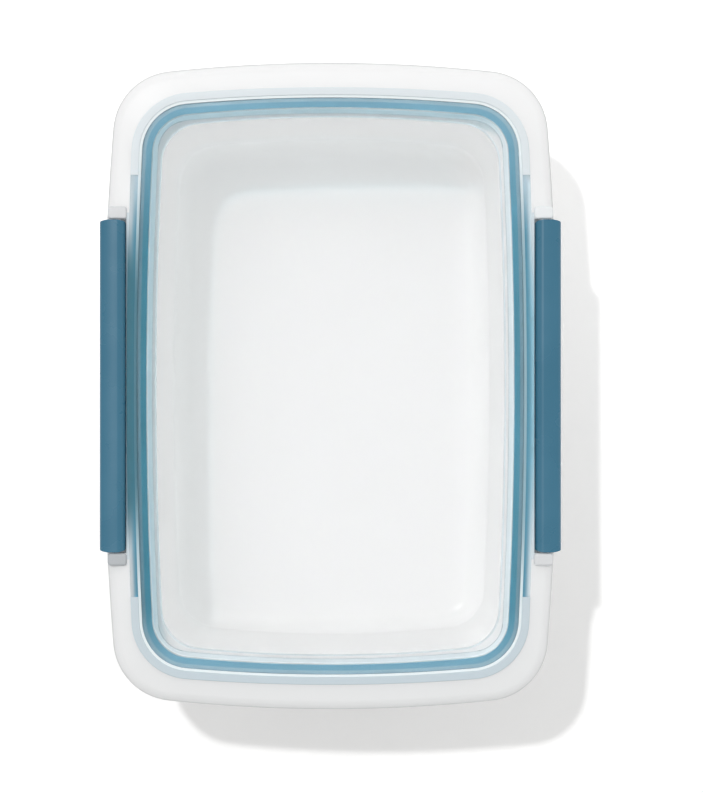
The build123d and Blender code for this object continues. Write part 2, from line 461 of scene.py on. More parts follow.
@dataclass(frozen=True)
class Place:
    """A stretch along a direction, over which one colour gives way to another."""

    direction: Point
    start: float
    end: float
    mirrored: bool = False
    bow: float = 0.0

    def blend(self, graph: Graph, first: Any, second: Any) -> NodeSocket:
        """Mixes two colours along the stretch.

        Args:
            graph: Graph of the material.
            first: Colour before the start.
            second: Colour past the end.

        Returns:
            The mixed colour's output socket.
        """
        inputs = {
            "Direction": self.direction,
            "Start": self.start,
            "End": self.end,
            "Mirrored": float(self.mirrored),
            "Bow": self.bow,
        }
        share = graph.add("ShaderNodeGroup", inputs, node_tree=place_share())
        return graph.mix(share.outputs["Share"], first, second)


# Stretches along which painted light, painted shade and painted reflections change.
DOWN_THE_LID = Place(ALONG, -115 * MM, 110 * MM)
BESIDE_LATCHES = Place(ALONG, 20 * MM, 75 * MM, mirrored=True)
BY_LEFT_LATCH = Place(ACROSS, -68 * MM, -58 * MM, bow=4.0)


@dataclass(frozen=True)
class PaintedLight:
    """Painted light or shade: another colour, which stands in for light, shade or a reflection, on the side
    before a place.
    """

    tint: Colour
    place: Place


def lay_painted_light(graph: Graph, colour: Any, shifts: tuple[PaintedLight, ...]) -> Any:
    """Lays painted light and shade over a colour, in order.

    Args:
        graph: Graph of the material.
        colour: Colour where no painted light or shade reaches.
        shifts: The painted light and shade.

    Returns:
        The resulting colour, or its output socket.
    """
    for shift in shifts:
        colour = shift.place.blend(graph, shift.tint, colour)
    return colour


def end_clear(graph: Graph, shader: Node, passing: Colour) -> None:
    """Ends a material so that some of the lamp's light passes through it.

    Args:
        graph: Graph of the material.
        shader: What the camera sees.
        passing: Share of the light that passes, for each colour.
    """
    ray = graph.add("ShaderNodeLightPath").outputs["Is Shadow Ray"]
    through = graph.add("ShaderNodeBsdfTransparent", {"Color": (*passing, 1.0)})
    both = graph.add("ShaderNodeMixShader", {0: ray, 1: shader.outputs[0], 2: through.outputs[0]})
    graph.add("ShaderNodeOutputMaterial", {"Surface": both.outputs[0]})


@dataclass(frozen=True)
class ClearPlastic:
    """Clear moulding, which lets the lamp shine through."""

    name: str
    clearness: float
    shine_through: float
    surface: Moulded
    tint: Colour = (0.985, 0.99, 0.99)
    refraction: float = 1.2
    gloss: float = 0.5
    shifts: tuple[PaintedLight, ...] = ()

    def build(self) -> Material:
        """Makes the material.

        Returns:
            The material.
        """
        material, graph = new_material(self.name)
        clear = {
            "Base Color": lay_painted_light(graph, (*self.tint, 1.0), self.shifts),
            "Transmission Weight": self.clearness,
            "IOR": self.refraction,
            "Specular IOR Level": self.gloss,
        }
        end_clear(graph, self.surface.shade(graph, clear), (self.shine_through,) * 3)
        return material


@dataclass(frozen=True)
class MilkyPlastic:
    """Translucent moulding that glows with the light behind it."""

    name: str
    tint: Colour
    deep_tint: Colour
    surface: Moulded = FROST
    glow: float = 0.25
    shifts: tuple[PaintedLight, ...] = ()

    def build(self) -> Material:
        """Makes the material.

        Returns:
            The material.
        """
        material, graph = new_material(self.name)
        group = self.surface.group(graph)
        plain = graph.mix(group.outputs["Sheen"], self.tint, self.deep_tint)
        colour = lay_painted_light(graph, plain, self.shifts)
        shader = self.surface.shade(graph, {"Base Color": colour})
        behind = graph.add("ShaderNodeBsdfTranslucent", {"Color": colour})
        both = graph.add("ShaderNodeMixShader", {0: self.glow, 1: shader.outputs[0], 2: behind.outputs[0]})
        graph.add("ShaderNodeOutputMaterial", {"Surface": both.outputs[0]})
        return material


@dataclass(frozen=True)
class SatinPlastic:
    """Opaque moulding with a satin face, for the latches."""

    name: str = "latch_satin"
    colour: Colour = (0.021, 0.132, 0.214)
    light_colour: Colour = (0.027, 0.143, 0.228)
    gloss: float = 0.5
    surface: Moulded = Moulded(roughness=0.25, spread=0.07, grain=2600.0, sheen=45.0, relief=0.1)

    def build(self) -> Material:
        """Makes the material.

        Returns:
            The material.
        """
        material, graph = new_material(self.name)
        group = self.surface.group(graph)
        colour = graph.mix(group.outputs["Sheen"], self.colour, self.light_colour)
        shader = self.surface.shade(graph, {"Base Color": colour, "Specular IOR Level": self.gloss})
        graph.add("ShaderNodeOutputMaterial", {"Surface": shader.outputs[0]})
        return material


@dataclass(frozen=True)
class Tone:
    """Colour of the silicone in full depth and where it is thin."""

    full: Colour
    thin: Colour


@dataclass(frozen=True)
class Silicone:
    """Soft teal silicone, greyer where the ring is thin, with painted shade that makes it darker along the
    sides and darkest on the left.
    """

    name: str = "seal_silicone_soft"
    # Painted shade: the side tones are darker than the end tones, the left ones darkest.
    ends: Tone = Tone(full=(0.105, 0.240, 0.320), thin=(0.215, 0.320, 0.380))
    right: Tone = Tone(full=(0.034, 0.155, 0.220), thin=(0.110, 0.195, 0.240))
    left: Tone = Tone(full=(0.010, 0.110, 0.160), thin=(0.060, 0.135, 0.175))
    from_left: Place = Place(ACROSS, -78 * MM, -50 * MM)
    to_far_end: Place = Place(ALONG, 45 * MM, 104 * MM)
    from_near_end: Place = Place(ALONG, -106 * MM, -80 * MM)
    shine_through: Colour = (0.22, 0.80, 0.92)
    gloss: float = 0.12
    surface: Moulded = Moulded(roughness=0.42, spread=0.1, grain=1800.0, sheen=60.0, relief=0.1)

    def build(self) -> Material:
        """Makes the material.

        Returns:
            The material.
        """
        material, graph = new_material(self.name)
        thin = graph.add("ShaderNodeAttribute", attribute_name=Seal.THIN).outputs["Fac"]
        ends = graph.mix(thin, self.ends.full, self.ends.thin)
        right = graph.mix(thin, self.right.full, self.right.thin)
        left = graph.mix(thin, self.left.full, self.left.thin)
        sides = self.from_left.blend(graph, left, right)
        colour = self.to_far_end.blend(graph, sides, ends)
        colour = self.from_near_end.blend(graph, ends, colour)
        shader = self.surface.shade(graph, {"Base Color": colour, "Specular IOR Level": self.gloss})
        end_clear(graph, shader, self.shine_through)
        return material


def new_material(name: str) -> tuple[Material, Graph]:
    """Makes a material without nodes.

    Args:
        name: Name of the material.

    Returns:
        The material and its graph.
    """
    material = bpy.data.materials.new(name)
    material.use_nodes = True
    return material, Graph(material.node_tree)


def rim_line() -> Outline:
    """Middle line of the tub's rim, from the sealing ring's box."""
    lowest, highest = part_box("seal")
    return Outline(
        width=highest.x - lowest.x - 2 * Seal.outer,
        length=highest.y - lowest.y - 2 * Seal.outer,
        side_bow=2.8 * MM,
        end_bow=3.9 * MM,
        corner=17.5 * MM,
    )


def lid_line() -> Outline:
    """Outer edge of the lid, whose length comes from its box."""
    lowest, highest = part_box("lid")
    return Outline(
        width=168.8 * MM,
        length=highest.y - lowest.y,
        side_bow=5.4 * MM,
        end_bow=5.6 * MM,
        corner=23.0 * MM,
    )


@dataclass
class Tub:
    """The tub: drafted walls, a rounded floor, a foot, a rim, and a flange with a hanging lip."""

    rim_thickness: float = 1.8 * MM
    rim_round: float = 0.6 * MM
    mouth_inset: float = 5.2 * MM
    mouth_corner: float = 15.0 * MM
    wall: float = 1.8 * MM
    draft: float = math.radians(3.2)
    shoulder_height: float = 4.5 * MM
    shoulder_lift: float = 0.9 * MM
    shoulder_round: float = 0.5 * MM
    floor_thickness: float = 2.2 * MM
    floor_round: float = 7.1 * MM
    foot_round: float = 3.8 * MM
    foot_width: float = 7.5 * MM
    foot_recess: float = 1.0 * MM
    flange_inset: float = 3.8 * MM
    flange_drop: float = 3.5 * MM
    flange_thickness: float = 1.8 * MM
    flange_round: float = 1.2 * MM
    lip_thickness: float = 1.6 * MM
    lip_depth: float = 8.0 * MM
    edge_round: float = 0.25 * MM
    steps: Steps = Steps()
    finish: MilkyPlastic = MilkyPlastic(
        name="tub_milky",
        tint=(0.90, 0.90, 0.90),
        deep_tint=(0.89, 0.891, 0.892),
        surface=replace(FROST, roughness=0.14, spread=0.06, relief=0.02),
        glow=0.36,
        # Painted shade: bluish on the lower left wall and the lower far end inside, where the lamp's shadow
        # falls, with a neutral tint above 30 mm; painted light: lighter on the right wall, which faces the
        # lamp.
        shifts=(
            PaintedLight((0.905, 0.940, 0.942), Place(ACROSS, -56 * MM, -42 * MM)),
            PaintedLight((0.905, 0.940, 0.950), Place(NEARWARD, -80 * MM, -66 * MM)),
            PaintedLight((0.895, 0.897, 0.900), Place(DOWN, -30 * MM, -12 * MM)),
            PaintedLight((0.955, 0.955, 0.957), Place(LEFTWARD, -56 * MM, -44 * MM)),
        ),
    )

    def mouth(self, level: float, grow: float = 0.0) -> Outline:
        """Outline parallel to the tub's inner wall at a level below its shoulder.

        Args:
            level: How far below the shoulder the outline lies.
            grow: How far outside the inner wall it runs.

        Returns:
            The outline.
        """
        size = grow - level * math.tan(self.draft) - self.mouth_inset
        return rim_line().grown(size, self.mouth_corner + grow)

    def section(self) -> list[Station]:
        """Section of the tub, from the middle of its floor over the rim to its underside.

        Returns:
            The corners of the section.
        """
        rim, edge = rim_line(), lid_line()
        rim_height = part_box("tub")[1].z
        flange_top = rim_height - self.flange_drop
        flange_low = flange_top - self.flange_thickness
        lip_low = flange_top - self.lip_depth
        knee = flange_low - self.shoulder_height
        floor = self.foot_recess + self.floor_thickness
        half, small = self.rim_thickness / 2, self.edge_round
        inner_foot = self.mouth(knee, self.wall - self.foot_width)
        lip_inside = edge.grown(-self.flange_inset - self.lip_thickness)
        inside = [
            Station(self.mouth(knee, -self.foot_width - self.floor_round), floor),
            Station(self.mouth(knee - floor), floor, self.floor_round, segments=10),
            Station(self.mouth(0.0), knee + self.shoulder_lift, self.shoulder_round),
            Station(rim.grown(-half), flange_low + self.shoulder_lift, self.shoulder_round),
            Station(rim.grown(-half), rim_height, self.rim_round, segments=4),
        ]
        outside = [
            Station(rim.grown(half), rim_height, self.rim_round, segments=4),
            Station(rim.grown(half), flange_top),
            Station(edge.grown(-self.flange_inset), flange_top, self.flange_round, segments=5),
            Station(edge.grown(-self.flange_inset), lip_low, small * 2),
            Station(lip_inside, lip_low, small * 2),
            Station(lip_inside, flange_low, small),
            Station(rim.grown(half), flange_low),
            Station(self.mouth(0.0, self.wall), knee),
            Station(self.mouth(knee, self.wall), 0.0, self.foot_round, segments=8),
            Station(inner_foot, 0.0, small),
            Station(inner_foot, self.foot_recess, small),
            Station(inner_foot.grown(-self.foot_width), self.foot_recess),
        ]
        skins = ((TubSkin.INSIDE, inside), (TubSkin.OUTSIDE, outside))
        return [replace(station, skin=skin) for skin, stations in skins for station in stations]

    def build(self) -> Object:
        """Models the tub and dresses it.

        Returns:
            The tub.
        """
        sweep = Sweep(self.section(), self.steps)
        sweep.cap_ends()
        sweep.round_corners()
        # The outside faces go without the painted light and shade of the inside.
        outside = replace(self.finish, name="tub_milky_outside", shifts=())
        body = finished("tub_moulding", sweep.mesh, self.finish.build(), outside.build())
        even_normals(body)
        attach(body, "tub")
        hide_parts("tub")
        return body


@dataclass
class Lid:
    """The lid: a clear panel and ring, a frosted crown and skirt, and the latches' seats."""

    wall: float = 1.6 * MM
    crown_fall: float = 2.2 * MM
    crown_round: float = 3.9 * MM
    crown_inner_round: float = 2.6 * MM
    ring_reach: float = 4.2 * MM
    ring_wall: float = 1.2 * MM
    wall_bite: float = 0.05 * MM
    ring_roof: float = 1.4 * MM
    ring_drop: float = 5.3 * MM
    groove_outer: float = 3.0 * MM
    groove_inner: float = 3.2 * MM
    rib_inner: float = 0.6 * MM
    rib_outer: float = 1.3 * MM
    rib_depth: float = 2.0 * MM
    line_inner: float = 0.45 * MM
    line_outer: float = 1.42 * MM
    ledge_inner: float = 1.4 * MM
    ledge_height: float = 0.6 * MM
    ledge_end: float = 78.0 * MM
    ledge_round: float = 0.3 * MM
    panel_inset: float = 6.6 * MM
    panel_corner: float = 15.0 * MM
    panel_slope: float = 2.2 * MM
    panel_depth: float = 2.8 * MM
    panel_wall: float = 1.6 * MM
    panel_margin: float = 2.0 * MM
    panel_line: float = 0.8 * MM
    panel_round: float = 1.1 * MM
    brow_round: float = 0.8 * MM
    edge_round: float = 0.25 * MM
    latch_gap: float = 0.3 * MM
    barrel_radius: float = 3.1 * MM
    lug_length: float = 4.6 * MM
    lug_width: float = 7.1 * MM
    lug_drop: float = 0.3 * MM
    lug_corner: float = 1.2 * MM
    lug_round: float = 0.8 * MM
    pin_radius: float = 1.5 * MM
    pin_length: float = 2.6 * MM
    pin_root: float = 1.5 * MM
    saddle_place: float = 24.0 * MM
    saddle_width: float = 2.4 * MM
    saddle_length: float = 4.2 * MM
    saddle_top: float = 91.4 * MM
    saddle_bottom: float = 89.4 * MM
    steps: Steps = Steps()
    clear: ClearPlastic = ClearPlastic(
        name="lid_clear",
        clearness=1.0,
        shine_through=0.96,
        surface=GLASSY,
    )
    misty: ClearPlastic = ClearPlastic(
        name="lid_panel_misty",
        clearness=0.8,
        shine_through=0.82,
        surface=replace(GLASSY, roughness=0.09, relief=0.01),
    )
    frosted: MilkyPlastic = MilkyPlastic(
        name="lid_frosted",
        tint=(0.99, 0.99, 0.99),
        deep_tint=(0.985, 0.985, 0.985),
        # Painted light and shade: darker towards the near end, for a light that stands nearer the far end,
        # and darker on the skirt's side below 92 mm, a painted shade for the grey outline at its edge.
        shifts=(
            PaintedLight((0.92, 0.925, 0.925), DOWN_THE_LID),
            PaintedLight((0.74, 0.745, 0.745), Place(UP, 92.0 * MM, 93.4 * MM)),
        ),
    )
    ledge_frosted: MilkyPlastic = MilkyPlastic(
        name="lid_ledge_frosted",
        tint=(0.86, 0.915, 0.94),
        deep_tint=(0.85, 0.905, 0.935),
        # Painted shade: darker towards the near end.
        shifts=(PaintedLight((0.66, 0.75, 0.80), DOWN_THE_LID),),
    )
    veiled: ClearPlastic = ClearPlastic(
        name="lid_ring_veiled",
        clearness=0.5,
        shine_through=0.9,
        surface=replace(GLASSY, roughness=0.2, spread=0.05, relief=0.01),
        tint=(0.95, 0.98, 1.0),
        # Painted reflection: the blue of the latches and the seal in the ring's wall along the sides,
        # deepest next to the seal; painted light: paler towards the far end; painted shade: darkest beside
        # the left latch.
        shifts=(
            PaintedLight((0.45, 0.74, 0.87), BESIDE_LATCHES),
            PaintedLight((0.17, 0.44, 0.58), Place(ACROSS, 72.9 * MM, 75.3 * MM, mirrored=True, bow=0.264)),
            PaintedLight((0.82, 0.94, 1.0), Place(NEARWARD, -80 * MM, -54 * MM)),
            PaintedLight((0.10, 0.28, 0.36), BY_LEFT_LATCH),
        ),
    )
    pale: ClearPlastic = ClearPlastic(
        name="lid_ring_pale",
        clearness=0.55,
        shine_through=0.9,
        surface=replace(GLASSY, roughness=0.32, spread=0.08, relief=0.01),
        # Painted reflection: the blue-grey tint stands in for the seal reflected in the ring's inner wall.
        tint=(0.70, 0.78, 0.81),
    )
    bright: ClearPlastic = ClearPlastic(
        name="lid_rib_line",
        clearness=0.15,
        shine_through=0.65,
        surface=replace(FROST, roughness=0.3, relief=0.04),
        tint=(0.93, 0.99, 1.0),
        # Painted shade: the line is darker and bluer along the sides, by the latches, and darkest beside
        # the left latch.
        shifts=(
            PaintedLight((0.33, 0.48, 0.54), Place(ALONG, 45 * MM, 92 * MM, mirrored=True)),
            PaintedLight((0.10, 0.22, 0.28), BY_LEFT_LATCH),
        ),
    )
    lug: MilkyPlastic = MilkyPlastic(
        name="lid_lug_frosted",
        tint=(0.93, 0.95, 0.96),
        deep_tint=(0.91, 0.93, 0.94),
        # Painted shade: darker on all but the far right lug, darkest on the near left lug, where the
        # latches' shadow falls.
        shifts=(
            PaintedLight((0.79, 0.80, 0.81), Place(DIAGONAL, 10 * MM, 100 * MM)),
            PaintedLight((0.54, 0.565, 0.585), Place(DIAGONAL, -100 * MM, -14 * MM)),
        ),
    )
    wall_frosted: MilkyPlastic = MilkyPlastic(
        name="lid_wall_frosted",
        tint=(0.80, 0.85, 0.88),
        deep_tint=(0.79, 0.84, 0.87),
        surface=replace(FROST, roughness=0.3, relief=0.05),
        # Painted reflection of the blue latches in the walls beside them; painted shade: darkest beside the
        # left latch.
        shifts=(
            PaintedLight((0.40, 0.62, 0.72), BESIDE_LATCHES),
            PaintedLight((0.14, 0.26, 0.33), BY_LEFT_LATCH),
        ),
    )

    def __post_init__(self) -> None:
        """Takes the lid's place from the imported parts."""
        latch_lowest, latch_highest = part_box(Side.RIGHT.value)
        self.skirt_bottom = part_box("lid")[0].z
        self.latch_top = latch_highest.z
        self.latch_end = latch_highest.y
        self.axis_x = latch_lowest.x + self.barrel_radius
        self.axis_z = self.latch_top - self.barrel_radius
        self.ring_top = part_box("seal")[1].z + self.ring_roof
        self.ring_bottom = self.ring_top - self.ring_drop
        self.rim = rim_line()
        self.panel = self.rim.grown(-self.panel_inset, self.panel_corner)
        self.brow = self.rim.grown(self.panel_slope - self.panel_inset, self.panel_corner)
        self.latch_wall = self.rim.width / 2 + self.ring_reach
        self.wall_inner = self.latch_wall - self.ring_wall + self.wall_bite
        self.edge = lid_line()

    def section(self) -> list[Station]:
        """Section of the lid, from the panel's upper face round the skirt to its underside.

        Returns:
            The corners of the section.
        """
        top, eaves = self.ring_top, self.ring_top - self.crown_fall
        panel_top = top - self.panel_depth
        roof = top - self.ring_roof
        underside = panel_top - self.panel_wall
        inner_edge = self.edge.grown(-self.wall)
        reach = self.rim.grown(self.ring_reach)
        small = self.edge_round
        inner_wall = self.rim.grown(-self.groove_inner - self.ring_wall)
        frosted, misty, veiled, pale = Skin.FROSTED, Skin.MISTY, Skin.VEILED, Skin.PALE
        rib_outside, rib_inside = self.rim.grown(self.rib_outer), self.rim.grown(self.rib_inner)
        inside = self.panel.grown(-self.panel_margin, self.panel_corner)
        return [
            Station(inside, panel_top, skin=misty),
            Station(self.panel, panel_top, self.panel_round, segments=4),
            Station(self.brow, top, self.brow_round, segments=4),
            Station(self.rim.grown(self.line_inner), top, skin=Skin.BRIGHT),
            Station(self.rim.grown(self.line_outer), top, skin=veiled),
            Station(reach, top, skin=frosted),
            Station(self.edge, eaves, self.crown_round, segments=8, skin=frosted),
            Station(self.edge, self.skirt_bottom, small * 2, skin=frosted),
            Station(inner_edge, self.skirt_bottom, small * 2, skin=frosted),
            Station(inner_edge, eaves - self.wall, self.crown_inner_round, segments=6, skin=frosted),
            Station(reach, top - self.wall),
            Station(reach, self.ring_bottom, small, skin=Skin.LEDGE),
            Station(self.rim.grown(self.groove_outer), self.ring_bottom, small),
            Station(self.rim.grown(self.groove_outer), roof, small),
            Station(rib_outside, roof, small),
            Station(rib_outside, roof - self.rib_depth, small),
            Station(rib_inside, roof - self.rib_depth, small),
            Station(rib_inside, roof, small),
            Station(self.rim.grown(-self.groove_inner), roof, small),
            Station(self.rim.grown(-self.groove_inner), self.ring_bottom, small, skin=pale),
            Station(inner_wall, self.ring_bottom, small),
            Station(inner_wall, underside, small),
            Station(self.panel.grown(self.panel_line), underside, skin=pale),
            Station(self.panel, underside, skin=misty),
            Station(inside, underside, skin=misty),
        ]

    def build(self) -> Object:
        """Models the lid and dresses it.

        Returns:
            The lid.
        """
        finishes = {
            Skin.CLEAR: self.clear,
            Skin.FROSTED: self.frosted,
            Skin.MISTY: self.misty,
            Skin.LEDGE: self.ledge_frosted,
            Skin.VEILED: self.veiled,
            Skin.BRIGHT: self.bright,
            Skin.LUG: self.lug,
            Skin.PALE: self.pale,
            Skin.WALL: self.wall_frosted,
        }
        sweep = Sweep(self.section(), self.steps)
        sweep.cap_ends()
        sweep.round_corners()
        shell = finished("lid_moulding", sweep.mesh, *(finishes[skin].build() for skin in Skin))
        for end in (-1, 1):
            combine(shell, "UNION", self.ledge(end), Skin.LEDGE)
        combine(shell, "DIFFERENCE", self.recesses(), Skin.FROSTED)
        combine(shell, "UNION", self.walls(), Skin.WALL)
        combine(shell, "UNION", self.seats(), Skin.LUG)
        even_normals(shell)
        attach(shell, "lid")
        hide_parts("lid")
        return shell

    def ledge(self, end: int) -> BMesh:
        """The ledge that runs round one end of the ring.

        Args:
            end: 1 or -1, the end of the keeper.

        Returns:
            A closed shape that reaches down into the ring.
        """
        low, high = self.ring_top - self.ledge_height, self.ring_top + self.ledge_height
        inner, outer = self.rim.grown(self.ledge_inner), self.rim.grown(self.ring_reach)
        stations = [
            Station(inner, low),
            Station(inner, high, self.ledge_round),
            Station(outer, high, self.ledge_round),
            Station(outer, low),
        ]
        sweep = Sweep(stations, self.steps)
        sweep.join_ends()
        sweep.round_corners()
        mesh = sweep.mesh
        cut = bmesh.ops.bisect_plane(
            mesh,
            geom=mesh.verts[:] + mesh.edges[:] + mesh.faces[:],
            dist=NEAR,
            plane_co=(0.0, end * self.ledge_end, 0.0),
            plane_no=(0.0, end, 0.0),
            clear_inner=True,
        )["geom_cut"]
        edges = [item for item in cut if isinstance(item, BMEdge)]
        bmesh.ops.edgenet_fill(mesh, edges=edges)
        return mesh

    def recesses(self) -> BMesh:
        """The space that each latch takes out of the crown and the skirt.

        Returns:
            A box for each side.
        """
        mesh = bmesh.new()
        reach = self.edge.width / 2 - self.latch_wall + self.barrel_radius
        low, high = self.skirt_bottom - self.barrel_radius, self.latch_top + self.barrel_radius
        half = self.latch_end + self.latch_gap
        for sign in (-1, 1):
            centre = (sign * (self.latch_wall + reach / 2), 0.0, (low + high) / 2)
            add_box(mesh, centre, (reach, 2 * half, high - low))
        return mesh

    def walls(self) -> BMesh:
        """Straight walls of the ring beside the latches.

        Returns:
            A box for each side.
        """
        mesh = bmesh.new()
        length = 2 * (self.latch_end + self.latch_gap) + self.lug_length
        size = (self.latch_wall - self.wall_inner, length, self.ring_top - self.ring_bottom)
        middle = (self.wall_inner + self.latch_wall) / 2
        for sign in (-1, 1):
            add_box(mesh, (sign * middle, 0.0, (self.ring_bottom + self.ring_top) / 2), size)
        return mesh

    def seats(self) -> BMesh:
        """Lugs, pins and saddles that carry the latches.

        Returns:
            Two closed sets of them for each side.
        """
        mesh = bmesh.new()
        start = self.latch_end + self.latch_gap
        lug_top = self.latch_top - self.lug_drop
        lug_size = (self.lug_width, self.lug_length, lug_top - self.ring_bottom)
        lug_middle = start + self.lug_length / 2
        lug_level = (self.ring_bottom + lug_top) / 2
        pin_middle = start + (self.pin_root - self.pin_length) / 2
        saddle_size = (self.saddle_length, self.saddle_width, self.saddle_top - self.saddle_bottom)
        saddle_middle = self.wall_inner + self.saddle_length / 2
        saddle_level = (self.saddle_bottom + self.saddle_top) / 2
        for sign in (-1, 1):
            for end in (-1, 1):
                lug_centre = (sign * self.axis_x, end * lug_middle, lug_level)
                add_box(mesh, lug_centre, lug_size, self.lug_corner, self.lug_round)
                pin_centre = (sign * self.axis_x, end * pin_middle, self.axis_z)
                add_rod(mesh, pin_centre, self.pin_radius, self.pin_length + self.pin_root)
                saddle_centre = (sign * saddle_middle, end * self.saddle_place, saddle_level)
                add_box(mesh, saddle_centre, saddle_size)
        return mesh


@dataclass
class Seal:
    """The sealing ring: two soft lobes over the rim, joined by a web with a slot for the lid's rib."""

    THIN = "thin"

    inner: float = 3.1 * MM
    outer: float = 2.9 * MM
    channel: float = 1.3 * MM
    thin_edge: float = 0.8 * MM
    thin_blend: float = 0.25 * MM
    lobe: float = 1.4 * MM
    slot_inner: float = 0.5 * MM
    slot_outer: float = 1.4 * MM
    slot_depth: float = 2.1 * MM
    slack: float = 0.05 * MM
    lobe_round: float = 0.7 * MM
    edge_round: float = 0.2 * MM
    steps: Steps = Steps()
    finish: Silicone = Silicone()

    def section(self) -> list[Station]:
        """Section of the ring, anticlockwise from the inner lobe.

        Returns:
            The corners of the section.
        """
        lowest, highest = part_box("seal")
        low, high = lowest.z, highest.z - self.slack
        roof, floor = low + self.lobe, high - self.slot_depth
        rim = rim_line()
        lobe, small = self.lobe_round, self.edge_round
        return [
            Station(rim.grown(-self.inner), low, lobe, segments=5),
            Station(rim.grown(-self.channel), low, lobe, segments=5),
            Station(rim.grown(-self.channel), roof, small, thin=True),
            Station(rim.grown(self.channel), roof, small, thin=True),
            Station(rim.grown(self.channel), low, lobe, segments=5),
            Station(rim.grown(self.outer), low, lobe, segments=5),
            Station(rim.grown(self.outer), high, small),
            Station(rim.grown(self.slot_outer), high, small),
            Station(rim.grown(self.slot_outer), floor, small, thin=True),
            Station(rim.grown(self.slot_inner), floor, small, thin=True),
            Station(rim.grown(self.slot_inner), high, small, thin=True),
            Station(rim.grown(-self.thin_edge), high, thin=True),
            Station(rim.grown(-self.thin_edge - self.thin_blend), high),
            Station(rim.grown(-self.inner), high, small),
        ]

    def build(self) -> Object:
        """Models the ring and dresses it.

        Returns:
            The ring.
        """
        sweep = Sweep(self.section(), self.steps)
        sweep.join_ends()
        thin = sweep.mesh.verts.layers.float.new(self.THIN)
        for vertex in sweep.mesh.verts:
            vertex[thin] = float(sweep.stations[vertex[sweep.station]].thin)
        sweep.round_corners()
        ring = finished("seal_ring", sweep.mesh, self.finish.build())
        even_normals(ring)
        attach(ring, "lid")
        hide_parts("seal")
        return ring


@dataclass
class Latch:
    """A swing latch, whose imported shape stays."""

    side: Side
    finish: Material

    def build(self) -> Object:
        """Dresses the latch.

        Returns:
            The latch.
        """
        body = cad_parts[self.side.value]
        body.data.materials.clear()
        body.data.materials.append(self.finish)
        return body


@dataclass
class Studio:
    """White table, one lamp from the upper left, a soft sky and the camera straight above."""

    table_size: float = 12.0
    table_drop: float = 0.2 * MM
    table_colour: Colour = (0.96, 0.96, 0.96)
    # Painted light: the camera sees the table brighter towards the far end, which lightens the lamp's
    # shadow there like a fill light.
    table_seen: Colour = (1.035, 1.032, 1.024)
    table_near: float = -160 * MM
    table_far: float = 90 * MM
    table_far_painted_light: Colour = (1.235, 1.23, 1.222)
    sky: float = 0.77
    sky_lean: Point = (0.08, 0.16, 0.0)
    lamp: float = 1.0
    lamp_spread: float = math.radians(2.0)
    lamp_direction: Point = (0.22, -0.27, -1.0)
    camera_place: Point = (7.8 * MM, -3.9 * MM, 1510 * MM)
    view_angle: float = math.radians(11.84)
    nearest: float = 0.05
    farthest: float = 100.0

    def build(self) -> None:
        """Makes the table, the lamp, the sky and the camera."""
        self.make_table()
        self.make_sky()
        self.make_lamp()
        self.make_camera()
        bpy.context.scene.view_settings.view_transform = "Standard"

    def make_table(self) -> None:
        """Makes the white table that the keeper stands on, with painted light that brightens it to the
        camera towards the far end.
        """
        material, graph = new_material("table_white")
        ray = graph.add("ShaderNodeLightPath").outputs["Is Camera Ray"]
        place = graph.add("ShaderNodeTexCoord").outputs["Object"]
        along = graph.add("ShaderNodeSeparateXYZ", {0: place}).outputs["Y"]
        far = graph.ramp(along, self.table_near, self.table_far)
        seen = graph.mix(far, self.table_seen, self.table_far_painted_light)
        colour = graph.mix(ray, self.table_colour, seen)
        shader = graph.add("ShaderNodeBsdfDiffuse", {"Color": colour})
        graph.add("ShaderNodeOutputMaterial", {"Surface": shader.outputs[0]})
        mesh = bmesh.new()
        bmesh.ops.create_grid(mesh, x_segments=1, y_segments=1, size=self.table_size / 2)
        bmesh.ops.translate(mesh, verts=mesh.verts, vec=(0.0, 0.0, -self.table_drop))
        finished("table", mesh, material)

    def make_sky(self) -> None:
        """Makes a sky that is brighter towards one corner, and that the camera sees as white."""
        world = bpy.data.worlds.new("sky")
        world.use_nodes = True
        graph = Graph(world.node_tree)
        path = graph.add("ShaderNodeLightPath")
        clear = graph.math("MAXIMUM", path.outputs["Is Camera Ray"], path.outputs["Is Transmission Ray"])
        seen = graph.math("MAXIMUM", clear, path.outputs["Is Glossy Ray"])
        place = graph.add("ShaderNodeTexCoord").outputs["Generated"]
        lean = graph.add("ShaderNodeVectorMath", {0: place, 1: self.sky_lean}, operation="DOT_PRODUCT")
        light = graph.math("ADD", lean.outputs["Value"], self.sky)
        strength = graph.math("MAXIMUM", seen, light)
        white = {"Color": (1.0, 1.0, 1.0, 1.0), "Strength": strength}
        background = graph.add("ShaderNodeBackground", white)
        graph.add("ShaderNodeOutputWorld", {"Surface": background.outputs[0]})
        bpy.context.scene.world = world

    def make_lamp(self) -> None:
        """Makes the lamp whose shadow falls to the lower right."""
        light = bpy.data.lights.new("lamp", "SUN")
        light.energy = self.lamp
        light.angle = self.lamp_spread
        lamp = bpy.data.objects.new("lamp", light)
        lamp.rotation_euler = Vector(self.lamp_direction).to_track_quat("-Z", "Y").to_euler()
        bpy.context.scene.collection.objects.link(lamp)

    def make_camera(self) -> None:
        """Makes the camera, which looks straight down."""
        data = bpy.data.cameras.new("camera")
        data.lens = data.sensor_width / 2 / math.tan(self.view_angle / 2)
        data.clip_start = self.nearest
        data.clip_end = self.farthest
        camera = bpy.data.objects.new("camera", data)
        camera.location = self.camera_place
        bpy.context.scene.collection.objects.link(camera)
        bpy.context.scene.camera = camera


